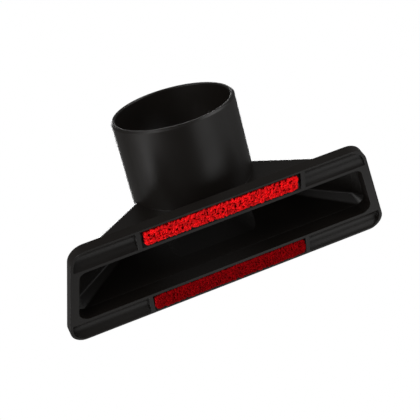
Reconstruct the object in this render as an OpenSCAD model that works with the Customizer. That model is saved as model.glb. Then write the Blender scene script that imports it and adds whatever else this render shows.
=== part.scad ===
// Upholstery nozzle for a vacuum cleaner, moulded in one piece, with two glued pile strips.
// The sole lies on z = 0 and faces down, +X runs along the mouth and the neck leans to -Y.
// The origin is the middle of the mouth, on the sole.

/* [Sole plate] */
// Length of the sole plate, end to end, measured through the middle of the mouth
plate_length = 96.9; // [90:0.1:120]
// Depth of the sole plate, front lip to rear lip
plate_depth = 33.8; // [32:0.1:40]
// Thickness of the sole plate
plate_thickness = 3.1; // [2.6:0.1:5]
// How far the ends spread towards the rear, in mm for each mm of depth
end_slant = 0.2; // [0:0.01:0.3]
// Corner radius of the plate at the front lip
front_corner_r = 5.5; // [4:0.1:7]
// Corner radius of the plate at the rear lip
rear_corner_r = 4.5; // [4:0.1:7]

/* [Mouth] */
// Width of the flat band between each end of the mouth and the plate's end
end_band = 2.7; // [2.4:0.1:6]
// Depth of the mouth, front edge to rear edge
mouth_depth = 18.1; // [14:0.1:19]
// Corner radius of the mouth at the front
mouth_front_r = 2.5; // [1.5:0.1:4]
// Corner radius of the mouth at the rear
mouth_rear_r = 2.9; // [1.5:0.1:4]

/* [Lips] */
// Thickness of the thin rib between the mouth and each lip's groove
slot_rib = 1.0; // [0.8:0.1:2]
// Thickness of the thin wall along the outer edge of each lip
lip_wall = 0.65; // [0.5:0.05:1.5]
// Thickness of the wall that closes each groove at the plate's ends
groove_end_wall = 0.9; // [0.6:0.1:2]
// Depth of the hollow groove in each lip
groove_depth = 1.25; // [0.8:0.05:1.6]
// Thickness of the ribs that divide each groove in three
cross_rib = 1.3; // [0.8:0.1:3]
// Distance from the middle of the nozzle to the near face of each cross rib
strip_bay = 24.8; // [15:0.1:36]

/* [Lint strips] */
// Clearance between a pile strip and the walls of its bay
strip_clearance = 0.15; // [0.05:0.05:0.4]
// How far the front strip's pile stands out of the sole
front_pile_proud = 0.3; // [0:0.1:2]
// How far the rear strip's pile stands out of the sole
rear_pile_proud = 0.2; // [0:0.1:2]
// Corner radius at the ends of the strips
strip_corner_r = 1.4; // [0.5:0.1:2]

/* [Hood] */
// Wall thickness of the hood
hood_wall = 1.5; // [1.2:0.1:2.2]
// Height of the upright walls round the mouth, measured inside from the sole
mouth_wall_height = 4.3; // [4:0.1:8]
// Radius of the inner edges of the hood's roof
roof_edge_r = 0.9; // [0.4:0.1:1.5]
// Height of the roof's edge line at the front corner of each end
roof_front_height = 4.65; // [4.4:0.05:10]
// Height of the roof's edge line at the rear corner of each end
roof_rear_height = 6.7; // [5:0.1:11]
// Height of the roof's edge line at the crown, where it runs into the neck
crown_height = 26.5; // [24:0.1:27.5]
// How far the front wall has leaned back where it reaches the crown
crown_setback = 5.8; // [4.5:0.1:6.5]
// Depth of the roof at the crown, front edge to rear edge
crown_depth = 6.1; // [4:0.1:6.5]
// How much higher than its front edge the roof's rear edge lies at the crown
crown_rise = 0.4; // [-1:0.1:1]

/* [Neck] */
// Bore of the neck, which takes the end of the cleaner's tube
bore_d = 35; // [30:0.5:38]
// Wall thickness of the neck
neck_wall = 1.4; // [1.2:0.1:2.2]
// Length of the neck, rim to hood
neck_length = 25.2; // [18:0.1:40]
// Angle of the neck above the sole, in degrees
neck_rise = 20.5; // [15:0.5:35]
// Height of the neck's axis above the sole where the neck meets the hood
neck_foot_height = 25.1; // [24:0.1:34]
// How far the foot of the neck's axis lies in front of the middle of the mouth
neck_foot_front = 3.95; // [0:0.05:6]
// Chamfer round the outside of the rim
rim_chamfer = 0.6; // [0.2:0.1:0.8]
// Chamfer round the inside of the rim
rim_inner_chamfer = 0.3; // [0.1:0.1:0.5]
// How much wider than the bore the elbow's foot spreads at each side of the mouth
elbow_spread = 5; // [2:0.5:8]
// How far the elbow's round back reaches behind the foot of the neck
elbow_back = 7; // [3:0.5:9]

/* [Hidden] */

$fn = 96;
// Segments round the small and the large parts of the blended forms
ball_fn = 32;
ring_fn = 60;
// Extra length that a cut runs past the face it opens
overcut = 1;
// How much smaller a blended form is than the true cylinder or wall that it runs out of
tuck = 0.05;
// Height of the thin slices that a blended form starts from
slice = 0.3;
// How far the balls of the roof stand clear of the mouth's round corners
ball_gap = 0.12;

end_stretch = sqrt(1 + end_slant * end_slant);
plate_half = plate_length / 2;
mouth_half = plate_half - end_band;
mouth_y = mouth_depth / 2;
groove_width = plate_depth / 2 - lip_wall - mouth_y - slot_rib;
groove_y = mouth_y + slot_rib + groove_width / 2;
groove_r = (pow(groove_width / 2, 2) + pow(groove_depth, 2)) / (2 * groove_depth);
bore_r = bore_d / 2;
neck_r = bore_r + neck_wall;
// The neck runs this far into the hood, past its foot
neck_run_in = 1.5;
// The elbow's sides leave the mouth this far in from its front and rear walls
elbow_inset = 0.8;
// The upright walls end a little higher outside, so that the rear slope keeps its thickness
outer_wall_height = mouth_wall_height + hood_wall * 0.4;
// The crown's corners are buried in the neck, this far to each side
crown_x = bore_r - 6.5;
// Direction, in plan, in which the roof's front corners lie from the mouth's corner centres
roof_front_turn = -42;

// Centre of a round corner of a slanted plan; y_edge is the plan's edge on that side.
function corner_centre(half_length, y_edge, r) =
    let (y = y_edge - sign(y_edge) * r)
    [half_length + end_slant * y - r * end_stretch, y];

// A plan with slanted ends and round corners, centred on the mouth, wider at the rear.
module slanted_plan(half_length, half_depth, front_r, rear_r) {
    front = corner_centre(half_length, -half_depth, front_r);
    rear = corner_centre(half_length, half_depth, rear_r);
    side = [1, -end_slant] / end_stretch;
    right = [
        [front[0], -half_depth],
        front + front_r * side,
        rear + rear_r * side,
        [rear[0], half_depth]
    ];
    left = [for (i = [3:-1:0]) [-right[i][0], right[i][1]]];
    polygon(concat(right, left));
    for (s = [-1, 1]) {
        translate([s * front[0], front[1]]) circle(r = front_r);
        translate([s * rear[0], rear[1]]) circle(r = rear_r);
    }
}

// The plate's outline, drawn in at the ends and at the lips.
module plate_plan(end_margin, lip_margin) {
    slanted_plan(plate_half - end_margin * end_stretch, plate_depth / 2 - lip_margin,
                 front_corner_r - lip_margin, rear_corner_r - lip_margin);
}

// The mouth's outline, grown all round.
module mouth_plan(grow) {
    slanted_plan(mouth_half + grow * end_stretch, mouth_y + grow,
                 mouth_front_r + grow, mouth_rear_r + grow);
}

// Puts its children on the neck's axis, with +Z pointing out of the rim, at a distance behind it.
module on_neck_axis(behind_rim) {
    translate([0, -neck_foot_front, neck_foot_height])
        rotate([90 - neck_rise, 0, 0])
            translate([0, 0, neck_length - behind_rim]) children();
}

// The hollow of one lip: a round bar's print in three bays, with the cross ribs left standing.
module lip_groove(side) {
    difference() {
        intersection() {
            translate([0, side * groove_y, groove_depth - groove_r])
                rotate([0, 90, 0]) cylinder(r = groove_r, h = 2 * plate_length, center = true);
            translate([0, 0, -overcut])
                linear_extrude(overcut + plate_thickness) plate_plan(groove_end_wall, lip_wall);
        }
        for (s = [-1, 1])
            translate([s * (strip_bay + cross_rib / 2), side * groove_y, 0])
                cube([cross_rib, groove_width + overcut, 2 * plate_thickness], center = true);
    }
}

// A ball of the blended roof, with its mirror image at the other end.
module roof_balls(x, y, z, r) {
    for (s = [-1, 1])
        translate([s * x, y, z]) sphere(r = r, $fn = ball_fn);
}

// The fan of the hood: upright at the mouth, then closing to the crown beside the neck.
// The inside takes a grow of 0, the outside a grow of one wall.
module fan(grow, wall_height) {
    front = corner_centre(mouth_half, -mouth_y, mouth_front_r)
            + (mouth_front_r - roof_edge_r - ball_gap) * [cos(roof_front_turn), sin(roof_front_turn)];
    rear = corner_centre(mouth_half, mouth_y, mouth_rear_r);
    crown_y = -mouth_y + crown_setback;
    r = roof_edge_r + grow - tuck;
    hull() {
        translate([0, 0, wall_height - slice])
            linear_extrude(slice) mouth_plan(grow - tuck, $fn = ball_fn);
        roof_balls(front[0], front[1], roof_front_height, r);
        roof_balls(rear[0], rear[1], roof_rear_height, r);
        roof_balls(crown_x, crown_y, crown_height, r);
        roof_balls(crown_x, crown_y + crown_depth, crown_height + crown_rise, r);
    }
}

// The elbow that turns the neck's bore down to the mouth, with a domed back.
module elbow(grow) {
    r = bore_r + grow - tuck;
    hull() {
        on_neck_axis(neck_length + neck_run_in) cylinder(r = r, h = slice, $fn = ring_fn);
        on_neck_axis(neck_length + neck_run_in)
            intersection() {
                scale([1, 1, (elbow_back + grow) / r]) sphere(r = r - tuck, $fn = ring_fn);
                translate([0, 0, -2 * r]) cylinder(r = 2 * r, h = 2 * r);
            }
        translate([0, 0, mouth_wall_height - 3 * slice])
            linear_extrude(slice)
                for (s = [-1, 1])
                    translate([s * (bore_r + elbow_spread - mouth_y), 0])
                        circle(r = mouth_y + grow - elbow_inset, $fn = ring_fn);
    }
}

// The neck's outside, with a chamfered rim.
module neck_outside() {
    on_neck_axis(neck_length + neck_run_in)
        cylinder(r = neck_r, h = neck_length + neck_run_in - rim_chamfer);
    on_neck_axis(rim_chamfer)
        cylinder(r1 = neck_r, r2 = neck_r - rim_chamfer, h = rim_chamfer);
}

// Everything that the moulding fills before it is hollowed.
module outside_form() {
    linear_extrude(plate_thickness) plate_plan(0, 0);
    translate([0, 0, plate_thickness / 2])
        linear_extrude(outer_wall_height - plate_thickness / 2) mouth_plan(hood_wall);
    fan(hood_wall, outer_wall_height);
    elbow(neck_wall);
    neck_outside();
}

// The air's way: mouth, fan, elbow and bore.
module air_way() {
    translate([0, 0, -overcut]) linear_extrude(overcut + mouth_wall_height) mouth_plan(0);
    fan(0, mouth_wall_height);
    elbow(0);
    on_neck_axis(neck_length + neck_run_in)
        cylinder(r = bore_r, h = neck_length + neck_run_in + overcut);
    on_neck_axis(rim_inner_chamfer)
        cylinder(r1 = bore_r, r2 = bore_r + 2 * rim_inner_chamfer, h = 2 * rim_inner_chamfer);
}

module nozzle_body() {
    color([0.07, 0.07, 0.075])
        difference() {
            outside_form();
            air_way();
            lip_groove(-1);
            lip_groove(1);
        }
}

// A pile strip: its back follows the groove, its face is a low crown and its corners are round.
module lint_strip(side, proud) {
    half_length = strip_bay - strip_clearance;
    half_width = groove_width / 2 - strip_clearance;
    swell = proud + strip_clearance;
    swell_r = (half_width * half_width + swell * swell) / (2 * swell);
    straight = [half_length - strip_corner_r, half_width - strip_corner_r];
    translate([0, side * groove_y, 0])
        intersection() {
            rotate([90, 0, 90])
                translate([0, 0, -half_length])
                    linear_extrude(2 * half_length)
                        intersection() {
                            translate([0, groove_depth - groove_r])
                                circle(r = groove_r - strip_clearance);
                            translate([0, swell_r - proud]) circle(r = swell_r);
                        }
            translate([0, 0, -overcut - proud])
                linear_extrude(plate_thickness + overcut + proud) {
                    square([2 * half_length, 2 * straight[1]], center = true);
                    square([2 * straight[0], 2 * half_width], center = true);
                    for (sx = [-1, 1], sy = [-1, 1])
                        translate([sx * straight[0], sy * straight[1]]) circle(r = strip_corner_r);
                }
        }
}

module front_lint_strip() {
    color([0.85, 0.06, 0.12]) lint_strip(-1, front_pile_proud);
}

module rear_lint_strip() {
    color([0.78, 0.05, 0.1]) lint_strip(1, rear_pile_proud);
}

nozzle_body();
front_lint_strip();
rear_lint_strip();
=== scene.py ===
"""Upholstery nozzle of a vacuum cleaner: black moulded body, two red pile strips and studio."""

import logging
import math
import random
from dataclasses import dataclass, field
from enum import Enum

import bmesh
import bpy
from mathutils import Matrix, Vector, noise


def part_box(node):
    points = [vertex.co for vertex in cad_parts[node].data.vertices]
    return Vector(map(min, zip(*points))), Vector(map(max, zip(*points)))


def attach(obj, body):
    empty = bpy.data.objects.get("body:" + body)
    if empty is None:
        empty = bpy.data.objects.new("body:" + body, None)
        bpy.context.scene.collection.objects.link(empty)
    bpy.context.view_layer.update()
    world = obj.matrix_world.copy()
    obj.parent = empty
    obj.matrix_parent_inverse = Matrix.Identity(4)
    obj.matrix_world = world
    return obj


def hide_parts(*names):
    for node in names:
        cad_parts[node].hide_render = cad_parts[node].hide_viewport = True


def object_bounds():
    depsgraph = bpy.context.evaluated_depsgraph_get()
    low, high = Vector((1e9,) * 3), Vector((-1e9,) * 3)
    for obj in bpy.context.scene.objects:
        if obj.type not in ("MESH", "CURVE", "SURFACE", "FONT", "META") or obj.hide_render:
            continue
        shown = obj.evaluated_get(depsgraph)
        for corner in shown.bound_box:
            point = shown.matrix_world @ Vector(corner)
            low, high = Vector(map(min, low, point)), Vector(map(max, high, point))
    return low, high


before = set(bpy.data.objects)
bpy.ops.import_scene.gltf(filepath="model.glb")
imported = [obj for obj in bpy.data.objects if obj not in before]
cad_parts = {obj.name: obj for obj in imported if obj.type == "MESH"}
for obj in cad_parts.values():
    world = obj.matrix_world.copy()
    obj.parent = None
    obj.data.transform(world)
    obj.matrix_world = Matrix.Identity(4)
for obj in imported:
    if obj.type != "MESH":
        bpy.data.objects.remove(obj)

LOG = logging.getLogger("nozzle")
MM = 0.001  # the scene is in metres, the sizes below are in millimetres
CAD_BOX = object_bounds()


def srgb(code: str) -> tuple[float, float, float, float]:
    """Turns an sRGB hex value into the linear colour that a node takes.

    Args:
        code: Six hex digits, such as "1a1a1c".

    Returns:
        Linear red, green, blue and an alpha of 1.
    """
    parts = [int(code[i : i + 2], 16) / 255 for i in (0, 2, 4)]
    red, green, blue = (
        c / 12.92 if c <= 0.04045 else ((c + 0.055) / 1.055) ** 2.4 for c in parts
    )
    return (red, green, blue, 1.0)


def add_node(
    tree: bpy.types.NodeTree,
    kind: str,
    settings: dict[str, object] | None = None,
    values: dict[str | int, object] | None = None,
    links: dict[str | int, bpy.types.NodeSocket] | None = None,
) -> bpy.types.Node:
    """Adds one node to a tree.

    Args:
        tree: The node tree.
        kind: The node's type name without "ShaderNode".
        settings: The node's own properties.
        values: Default values of its inputs, by name or place.
        links: Sockets that feed its inputs, by name or place.

    Returns:
        The new node.
    """
    node = tree.nodes.new("ShaderNode" + kind)
    for name, value in (settings or {}).items():
        setattr(node, name, value)
    for name, value in (values or {}).items():
        node.inputs[name].default_value = value
    for name, socket in (links or {}).items():
        tree.links.new(socket, node.inputs[name])
    return node


def new_material(name: str) -> tuple[bpy.types.Material, bpy.types.NodeTree]:
    """Makes an empty node material.

    Args:
        name: The finish's name.

    Returns:
        The material and its cleared node tree.
    """
    material = bpy.data.materials.new(name)
    material.use_nodes = True
    material.node_tree.nodes.clear()
    return material, material.node_tree


def round_edges(
    bm: bmesh.types.BMesh, edges: list[bmesh.types.BMEdge], radius_mm: float, segments: int
) -> None:
    """Rounds edges with an arc.

    Args:
        bm: The form that the edges belong to.
        edges: The edges to round.
        radius_mm: The arc's radius.
        segments: The number of faces along the arc.
    """
    bmesh.ops.bevel(
        bm,
        geom=edges,
        offset=radius_mm * MM,
        segments=segments,
        profile=0.5,
        affect="EDGES",
        material=-1,
    )


def put_into_scene(bm: bmesh.types.BMesh, name: str) -> bpy.types.Object:
    """Turns a bmesh into an object at the origin and frees the bmesh.

    Args:
        bm: The finished form, in metres.
        name: The object's name.

    Returns:
        The new object.
    """
    mesh = bpy.data.meshes.new(name)
    bm.to_mesh(mesh)
    bm.free()
    piece = bpy.data.objects.new(name, mesh)
    bpy.context.scene.collection.objects.link(piece)
    return piece


class Lip(Enum):
    """The two lips of the sole; the value is the side of Y that the lip is on."""

    FRONT = -1
    REAR = 1


@dataclass(frozen=True)
class MouldedPolypropylene:
    """Black polypropylene, injection moulded in a tool with a fine spark-eroded grain.

    The eye sees a near-black satin skin, soft wide highlights and slightly rounded edges.
    """

    colour: str = "0c0a08"
    worn_colour: str = "110e0c"
    roughness: float = 0.36
    roughness_spread: float = 0.10
    grain_mm: float = 0.35  # the real grain is about 0.05 mm, drawn coarser so that it shows
    grain_depth_mm: float = 0.006
    flow_mm: float = 22.0  # size of the cloudy marks that the flowing melt leaves
    edge_radius_mm: float = 0.1
    ior: float = 1.49  # polypropylene
    specular: float = 0.24  # the fine grain takes the mirror part down

    def build(self) -> bpy.types.Material:
        """Makes the material.

        Returns:
            The node material.
        """
        material, tree = new_material("black_moulded_polypropylene")
        place = add_node(tree, "TexCoord").outputs["Object"]
        flow = add_node(
            tree,
            "TexNoise",
            values={"Scale": 1 / (self.flow_mm * MM), "Detail": 3.0, "Roughness": 0.55},
            links={"Vector": place},
        )
        grain = add_node(
            tree,
            "TexNoise",
            values={"Scale": 1 / (self.grain_mm * MM), "Detail": 2.0, "Roughness": 0.6},
            links={"Vector": place},
        )
        tone = add_node(
            tree,
            "Mix",
            settings={"data_type": "RGBA"},
            values={6: srgb(self.colour), 7: srgb(self.worn_colour)},
            links={0: flow.outputs["Fac"]},
        )
        satin = add_node(
            tree,
            "MapRange",
            values={
                "From Min": 0.3,
                "From Max": 0.7,
                "To Min": self.roughness - self.roughness_spread / 2,
                "To Max": self.roughness + self.roughness_spread / 2,
            },
            links={"Value": flow.outputs["Fac"]},
        )
        rounded = add_node(
            tree, "Bevel", settings={"samples": 6}, values={"Radius": self.edge_radius_mm * MM}
        )
        skin = add_node(
            tree,
            "Bump",
            values={"Strength": 0.35, "Distance": self.grain_depth_mm * MM},
            links={"Height": grain.outputs["Fac"], "Normal": rounded.outputs["Normal"]},
        )
        plastic = add_node(
            tree,
            "BsdfPrincipled",
            values={"IOR": self.ior, "Specular IOR Level": self.specular},
            links={
                "Base Color": tone.outputs[2],
                "Roughness": satin.outputs["Result"],
                "Normal": skin.outputs["Normal"],
            },
        )
        add_node(tree, "OutputMaterial", links={"Surface": plastic.outputs["BSDF"]})
        return material


@dataclass(frozen=True)
class BrushedNylonPile:
    """Short nylon pile, piece-dyed red and brushed, as on a lint brush.

    The eye sees bright red tips and a soft sheen at the edges; the dark red gaps between the
    clumps are painted shade, a colour that darkens toward the ground.
    """

    name: str
    # tip is the yarn's own red; root is painted shade, the darker red the pile takes down where
    # the loops shade each other
    tip: str
    root: str
    # heights where the painted shade is full (first) and gone (second)
    shade_deepest_z_mm: float
    shade_gone_z_mm: float
    gloss: float
    clump_mm: float = 1.8
    roughness: float = 0.7
    ior: float = 1.53  # nylon
    sheen: float = 0.04
    sheen_tint: str = "ff2020"

    def build(self) -> bpy.types.Material:
        """Makes the material.

        Returns:
            The node material.
        """
        material, tree = new_material(self.name)
        place = add_node(tree, "TexCoord").outputs["Object"]
        height = add_node(tree, "SeparateXYZ", links={"Vector": place})
        # painted shade by height: 0 down at the ground, 1 at the tips
        painted_shade_by_height = add_node(
            tree,
            "MapRange",
            settings={"interpolation_type": "SMOOTHSTEP"},
            values={"From Min": self.shade_deepest_z_mm * MM, "From Max": self.shade_gone_z_mm * MM},
            links={"Value": height.outputs["Z"]},
        )
        clumps = add_node(
            tree,
            "TexNoise",
            values={"Scale": 1 / (self.clump_mm * MM), "Detail": 2.0},
            links={"Vector": place},
        )
        uneven = add_node(
            tree,
            "MapRange",
            values={"From Min": 0.38, "From Max": 0.62, "To Min": 0.35, "To Max": 1.0},
            links={"Value": clumps.outputs["Fac"]},
        )
        # painted shade by height times the clumps' random tone
        shade_and_clump_tone = add_node(
            tree,
            "Math",
            settings={"operation": "MULTIPLY"},
            links={0: painted_shade_by_height.outputs["Result"], 1: uneven.outputs["Result"]},
        )
        # mixes the painted shade colour (root) toward the yarn's red (tip)
        tone = add_node(
            tree,
            "Mix",
            settings={"data_type": "RGBA"},
            values={6: srgb(self.root), 7: srgb(self.tip)},
            links={0: shade_and_clump_tone.outputs["Value"]},
        )
        pile = add_node(
            tree,
            "BsdfPrincipled",
            values={
                "Roughness": self.roughness,
                "IOR": self.ior,
                "Specular IOR Level": self.gloss,
                "Sheen Weight": self.sheen,
                "Sheen Roughness": 0.5,
                "Sheen Tint": srgb(self.sheen_tint),
            },
            links={"Base Color": tone.outputs[2]},
        )
        add_node(tree, "OutputMaterial", links={"Surface": pile.outputs["BSDF"]})
        return material


@dataclass
class NozzleBody:
    """The one-piece moulding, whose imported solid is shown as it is."""

    finish: MouldedPolypropylene = field(default_factory=MouldedPolypropylene)
    node: str = "nozzle_body"

    def dress(self) -> bpy.types.Object:
        """Gives the moulding its finish.

        Returns:
            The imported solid's object.
        """
        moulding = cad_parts[self.node]
        skin = self.finish.build()
        for place in moulding.material_slots:
            place.material = skin
        return moulding


@dataclass
class LintStrip:
    """A strip of looped pile on a woven ground, glued into the groove of one lip."""

    lip: Lip
    node: str
    finish: BrushedNylonPile
    crown_mm: float  # how far the pile stands out of the sole along its middle
    outer_gap_mm: float  # what the ground leaves of the solid strip on each of its sides
    inner_gap_mm: float = 0.0
    end_gap_mm: float = 0.3
    corner_mm: float = 1.3
    edge_sink_mm: float = 0.1  # how far the pile's edges lie below the sole
    ground_mm: float = 0.45
    back_gap_mm: float = 0.1  # between the ground and the back of the solid strip
    hem_mm: float = 0.12
    loop_pitch_mm: float = 0.62
    loop_radius_mm: float = 0.5
    yarn_radius_mm: float = 0.38
    loop_height_mm: float = 0.7
    loop_kinds: int = 8
    loop_twist: float = 0.25
    yarn_wobble_mm: float = 0.03
    foot_share: float = 0.6  # share of a loop's half width that stays inside the ground's edge
    scatter: float = 0.35  # share of the pitch that a loop may be off its place
    clump_mm: float = 1.5
    clump_height_mm: float = 0.3
    nap: float = 0.25  # the angles are in radians
    nap_spread: float = 0.3
    side_spread: float = 0.45
    seed: int = 7

    def plan(self) -> tuple[Vector, Vector]:
        """Gives the middle and the half size of the pile's plan.

        Returns:
            Both in metres, at the height of the sole.
        """
        low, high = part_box(self.node)
        spare = (self.outer_gap_mm + self.inner_gap_mm) / 2
        half = (high - low) / 2 - Vector((self.end_gap_mm, spare, 0)) * MM
        middle = (low + high) / 2
        middle.y -= self.lip.value * (self.outer_gap_mm - self.inner_gap_mm) / 2 * MM
        middle.z = half.z = 0
        return middle, half

    def ground_cloth(self) -> bpy.types.Object:
        """Builds the woven ground that the loops stand on, with round ends and soft edges.

        Returns:
            The ground's object.
        """
        middle, half = self.plan()
        _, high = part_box(self.node)
        top, thickness = high.z - self.back_gap_mm * MM, self.ground_mm * MM
        bm = bmesh.new()
        bmesh.ops.create_cube(bm, size=1.0)
        bmesh.ops.scale(bm, vec=(2 * half.x, 2 * half.y, thickness), verts=bm.verts)
        bmesh.ops.translate(
            bm, vec=(middle.x, middle.y, top - thickness / 2), verts=bm.verts
        )
        upright = [e for e in bm.edges if abs(e.verts[0].co.z - e.verts[1].co.z) > 1e-6]
        round_edges(bm, upright, self.corner_mm, segments=6)
        flat = [e for e in bm.edges if abs(e.verts[0].co.z - e.verts[1].co.z) < 1e-6]
        round_edges(bm, flat, self.hem_mm, segments=2)
        return put_into_scene(bm, self.node + "_ground")

    def loop(self, dice: random.Random) -> bpy.types.Mesh:
        """Makes one loop of pile yarn: a slim arch, a little twisted and uneven.

        Args:
            dice: The seeded source of chance.

        Returns:
            The loop's mesh, its feet at the origin's height, growing along -Z.
        """
        radius = self.loop_radius_mm * dice.uniform(0.75, 1.2) * MM
        yarn_radius = self.yarn_radius_mm * dice.uniform(0.8, 1.15) * MM
        bm = bmesh.new()
        bmesh.ops.create_circle(bm, cap_ends=True, segments=5, radius=yarn_radius)
        bmesh.ops.translate(bm, vec=(radius, 0, 0), verts=bm.verts)
        bmesh.ops.spin(
            bm,
            geom=bm.verts[:] + bm.edges[:] + bm.faces[:],
            cent=(0, 0, 0),
            axis=(0, 1, 0),
            angle=math.pi,
            steps=5,
            use_merge=False,
        )
        bmesh.ops.holes_fill(bm, edges=bm.edges[:], sides=0)
        tall = self.loop_height_mm * MM / radius * dice.uniform(0.85, 1.1)
        bmesh.ops.scale(bm, vec=(1, 1, tall), verts=bm.verts)
        wobble = self.yarn_wobble_mm
        for vertex in bm.verts:
            twist = self.loop_twist * vertex.co.x * vertex.co.z / radius
            vertex.co.y += dice.uniform(-wobble, wobble) * MM + twist
        bmesh.ops.recalc_face_normals(bm, faces=bm.faces[:])
        for face in bm.faces:
            face.smooth = True
        mesh = bpy.data.meshes.new("pile_loop")
        bm.to_mesh(mesh)
        bm.free()
        return mesh

    def root(self, x: float, y: float) -> Vector:
        """Pulls a place in the plan in to the round corners.

        Args:
            x: Distance along the strip from its middle, in metres.
            y: Distance across the strip from its middle, in metres.

        Returns:
            The place of the loop's root, relative to the strip's middle.
        """
        _, half = self.plan()
        corner = self.corner_mm * MM
        margin = (self.loop_radius_mm + self.yarn_radius_mm) * self.foot_share * MM
        straight = Vector((half.x - corner, half.y - corner))
        reach = corner - margin
        core = Vector(
            (max(-straight.x, min(straight.x, x)), max(-straight.y, min(straight.y, y)))
        )
        over = Vector((x, y)) - core
        if over.length > reach:
            over *= reach / over.length
        place = core + over
        return Vector((place.x, place.y, 0))

    def pile(self) -> bpy.types.Object:
        """Plants the loops over the strip, with a nap that leans to the nozzle's front.

        Returns:
            The pile's object.
        """
        dice = random.Random(self.seed)
        kinds = [self.loop(dice) for _ in range(self.loop_kinds)]
        middle, half = self.plan()
        pitch = self.loop_pitch_mm * MM
        height = self.loop_height_mm * MM
        columns, rows = round(2 * half.x / pitch), round(2 * half.y / pitch)
        bm = bmesh.new()
        for column in range(columns + 1):
            for row in range(rows + 1):
                off_x = dice.uniform(-self.scatter, self.scatter) * pitch
                off_y = dice.uniform(-self.scatter, self.scatter) * pitch
                root = self.root(
                    half.x * (2 * column / columns - 1) + off_x,
                    half.y * (2 * row / rows - 1) + off_y,
                )
                swell = noise.noise(root / (self.clump_mm * MM) + Vector((0, 0, self.seed)))
                bulge = 1 - (root.y / half.y) ** 2
                sink = self.edge_sink_mm * (1 - bulge) - self.crown_mm * bulge
                tip = (sink + self.clump_height_mm * swell) * MM
                nap = self.nap + dice.uniform(-self.nap_spread, self.nap_spread)
                stand = (
                    Matrix.Translation(middle + root + Vector((0, 0, tip + height)))
                    @ Matrix.Rotation(nap, 4, "X")
                    @ Matrix.Rotation(dice.uniform(-self.side_spread, self.side_spread), 4, "Y")
                    @ Matrix.Rotation(dice.uniform(0, math.tau), 4, "Z")
                )
                loop = dice.choice(kinds).copy()
                loop.transform(stand)
                bm.from_mesh(loop)
                bpy.data.meshes.remove(loop)
        for kind in kinds:
            bpy.data.meshes.remove(kind)
        return put_into_scene(bm, self.node + "_pile")

    def build(self) -> list[bpy.types.Object]:
        """Builds and dresses the strip.

        Returns:
            The ground and the pile.
        """
        pieces = [self.ground_cloth(), self.pile()]
        skin = self.finish.build()
        for piece in pieces:
            piece.data.materials.append(skin)
            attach(piece, "root")
            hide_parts(self.node)
        return pieces


@dataclass(frozen=True)
class SoftBox:
    """One square soft box that faces the nozzle."""

    name: str
    place_mm: tuple[float, float, float]
    watts: float
    size_mm: float = 400.0

    def hang(self) -> None:
        """Hangs the soft box in the room and turns it to the nozzle."""
        light = bpy.data.lights.new(self.name, "AREA")
        light.shape = "SQUARE"
        light.size = self.size_mm * MM
        light.energy = self.watts
        lamp = bpy.data.objects.new(self.name, light)
        bpy.context.scene.collection.objects.link(lamp)
        lamp.location = Vector(self.place_mm) * MM
        lamp.rotation_mode = "QUATERNION"
        lamp.rotation_quaternion = (-lamp.location).to_track_quat("-Z", "Y")


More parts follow.
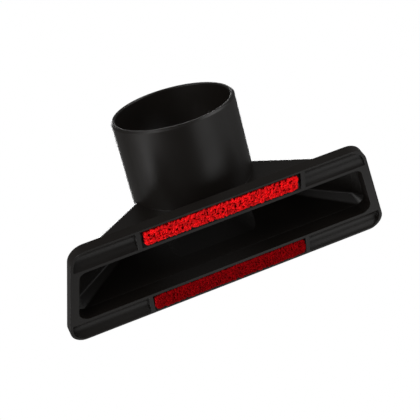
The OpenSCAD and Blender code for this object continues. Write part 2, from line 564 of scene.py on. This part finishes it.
@dataclass(frozen=True)
class Studio:
    """A white room: a pale floor, soft lamps and the camera of the photograph."""

    lamps: tuple[SoftBox, ...] = (
        SoftBox("soft_box_key", (-450, -400, -350), 1.7),
        SoftBox("soft_box_front_left", (-500, -500, 0), 4.2),
        SoftBox("soft_box_front_right", (500, -500, 0), 3.0),
        SoftBox("soft_box_left", (-550, 350, -250), 3.0),
        SoftBox("soft_box_rear_left", (-500, 500, 0), 0.8),
        SoftBox("soft_box_below", (350, 0, -605), 0.85),
        SoftBox("soft_box_low_right", (605, 0, -350), 0.4),
        SoftBox("soft_box_right", (700, 0, 0), 0.35),
        SoftBox("soft_box_low_rear", (280, 480, -430), 0.4),
        SoftBox("soft_box_rear", (0, 605, -350), 0.25),
        SoftBox("soft_box_above", (100, 350, 600), 4.0),
    )
    room_light: float = 0.17
    paper: str = "f4f4f4"
    floor_half_mm: float = 3000.0
    floor_glow: float = 0.08  # lifts the paper to near white
    shadow_reach_mm: tuple[float, float] = (120.0, 400.0)  # the paper turns white between these
    sensor_mm: float = 36.0
    lens_mm: float = 102.857
    camera_mm: tuple[float, float, float] = (-76.17, -246.05, -235.64)
    aim_mm: tuple[float, float, float] = (-1.01, -6.72, 8.44)
    roll_degrees: float = -32.79

    def floor(self, level: float) -> None:
        """Lays the floor under the nozzle: pale paper that keeps its shadow, white further out.

        It is seen from above only, so the sole stays in view, and it lights nothing.

        Args:
            level: The height that the nozzle stands on, in metres.
        """
        bm = bmesh.new()
        bmesh.ops.create_grid(bm, x_segments=1, y_segments=1, size=self.floor_half_mm * MM)
        bmesh.ops.translate(bm, vec=(0, 0, level), verts=bm.verts)
        floor = put_into_scene(bm, "floor")
        material, tree = new_material("white_paper_roll")
        face = add_node(tree, "NewGeometry")
        paper = add_node(
            tree, "BsdfDiffuse", values={"Color": srgb(self.paper), "Roughness": 0.5}
        )
        glow = add_node(tree, "Emission", values={"Strength": self.floor_glow})
        near = add_node(
            tree, "AddShader", links={0: paper.outputs["BSDF"], 1: glow.outputs["Emission"]}
        )
        place = add_node(tree, "TexCoord").outputs["Object"]
        reach = add_node(tree, "VectorMath", settings={"operation": "LENGTH"}, links={0: place})
        away = add_node(
            tree,
            "MapRange",
            settings={"interpolation_type": "SMOOTHSTEP"},
            values={
                "From Min": self.shadow_reach_mm[0] * MM,
                "From Max": self.shadow_reach_mm[1] * MM,
            },
            links={"Value": reach.outputs["Value"]},
        )
        far = add_node(tree, "Emission", values={"Strength": 1.0})
        shown = add_node(
            tree,
            "MixShader",
            links={
                0: away.outputs["Result"],
                1: near.outputs["Shader"],
                2: far.outputs["Emission"],
            },
        )
        clear = add_node(tree, "BsdfTransparent")
        either = add_node(
            tree,
            "MixShader",
            links={
                0: face.outputs["Backfacing"],
                1: shown.outputs["Shader"],
                2: clear.outputs["BSDF"],
            },
        )
        add_node(tree, "OutputMaterial", links={"Surface": either.outputs["Shader"]})
        floor.data.materials.append(material)
        floor.visible_shadow = False
        floor.visible_glossy = False
        floor.visible_diffuse = False

    def world(self) -> None:
        """Makes the white room: white where the camera looks, soft grey as light."""
        world = bpy.data.worlds.new("white_room")
        bpy.context.scene.world = world
        world.use_nodes = True
        tree = world.node_tree
        tree.nodes.clear()
        ray = add_node(tree, "LightPath")
        white = (1, 1, 1, 1)
        seen = add_node(tree, "Background", values={"Color": white, "Strength": 1.0})
        light = add_node(
            tree, "Background", values={"Color": white, "Strength": self.room_light}
        )
        either = add_node(
            tree,
            "MixShader",
            links={
                0: ray.outputs["Is Camera Ray"],
                1: light.outputs["Background"],
                2: seen.outputs["Background"],
            },
        )
        add_node(tree, "OutputWorld", links={"Surface": either.outputs["Shader"]})

    def camera(self) -> None:
        """Sets up the camera where the photograph was taken from."""
        data = bpy.data.cameras.new("camera")
        data.sensor_fit = "HORIZONTAL"
        data.sensor_width = self.sensor_mm
        data.lens = self.lens_mm
        data.clip_start, data.clip_end = 0.01, 20.0
        camera = bpy.data.objects.new("camera", data)
        bpy.context.scene.collection.objects.link(camera)
        place, aim = Vector(self.camera_mm) * MM, Vector(self.aim_mm) * MM
        look = (aim - place).to_track_quat("-Z", "Y").to_matrix().to_4x4()
        roll = Matrix.Rotation(math.radians(self.roll_degrees), 4, "Z")
        camera.matrix_world = Matrix.Translation(place) @ look @ roll
        bpy.context.scene.camera = camera

    def build(self, level: float) -> None:
        """Builds the room, its lamps and the camera.

        Args:
            level: The height that the nozzle stands on, in metres.
        """
        self.camera()
        self.floor(level)
        self.world()
        for lamp in self.lamps:
            lamp.hang()
        bpy.context.scene.view_settings.view_transform = "Standard"


def main() -> None:
    """Builds the nozzle piece by piece, then the studio round it."""
    logging.basicConfig(level=logging.INFO, format="%(message)s")
    body = NozzleBody().dress()
    LOG.info("body %s: %d faces", body.name, len(body.data.polygons))
    strips = [
        LintStrip(
            lip=Lip.FRONT,
            node="front_lint_strip",
            finish=BrushedNylonPile(
                name="red_nylon_pile_front",
                # tip is the pile's own red, root the painted shade toward the ground
                tip="f00209",
                root="8c0205",
                shade_deepest_z_mm=0.45,
                shade_gone_z_mm=-0.25,
                gloss=0.1,
            ),
            crown_mm=0.2,
            outer_gap_mm=0.1,
            inner_gap_mm=0.1,
            end_gap_mm=0.8,
            loop_pitch_mm=0.85,
            loop_radius_mm=0.62,
        ),
        LintStrip(
            lip=Lip.REAR,
            node="rear_lint_strip",
            # same red pile as the front; its darker tip and root colours are painted shade for
            # the rear lip
            finish=BrushedNylonPile(
                name="red_nylon_pile_rear_painted_shade",
                tip="840005",
                root="600003",
                shade_deepest_z_mm=0.7,
                shade_gone_z_mm=-0.15,
                gloss=0.02,
            ),
            crown_mm=0.1,
            outer_gap_mm=0.15,
            seed=11,
        ),
    ]
    for strip in strips:
        for piece in strip.build():
            LOG.info("strip %s: %d faces", piece.name, len(piece.data.polygons))
    Studio().build(CAD_BOX[0].z)


if __name__ == "__main__":
    main()
